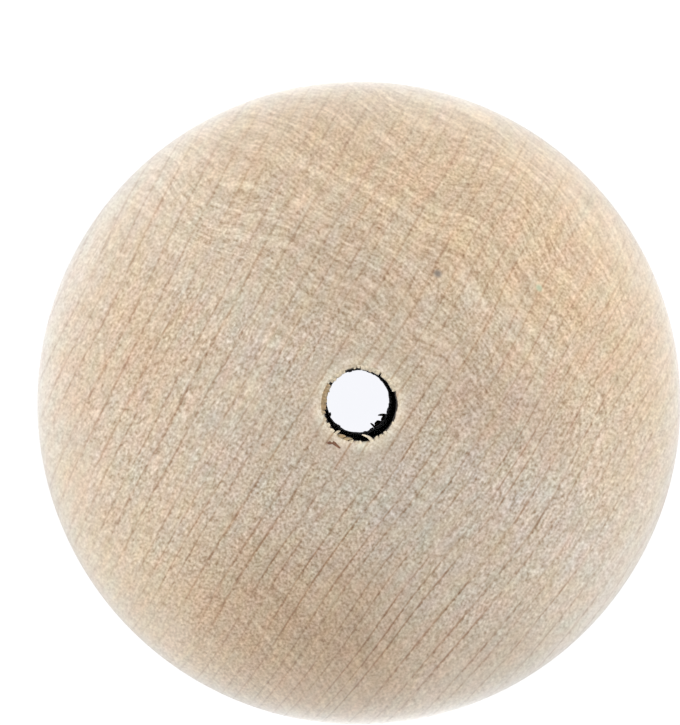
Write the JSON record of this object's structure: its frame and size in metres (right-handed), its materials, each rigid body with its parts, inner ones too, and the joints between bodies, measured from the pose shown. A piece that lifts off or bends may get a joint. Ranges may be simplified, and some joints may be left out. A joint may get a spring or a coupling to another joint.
{
  "type": "drilled wooden ball",
  "caption": "Plain turned maple ball with a straight bore right through it along the grain and rounded bore mouths, to thread on a cord or fit on a dowel.",
  "frame": {"origin": "centre of the ball, on the axis of its bore", "axes": "+Z along the bore and the grain, up as the ball stands on the rim of its lower mouth; +X to the right and +Y up in the picture"},
  "size_m": [0.04, 0.04, 0.0396],
  "materials": {
    "maple": "matte"
  },
  "bodies": {
    "root": {"ball": "maple"}
  },
  "joints": []
}
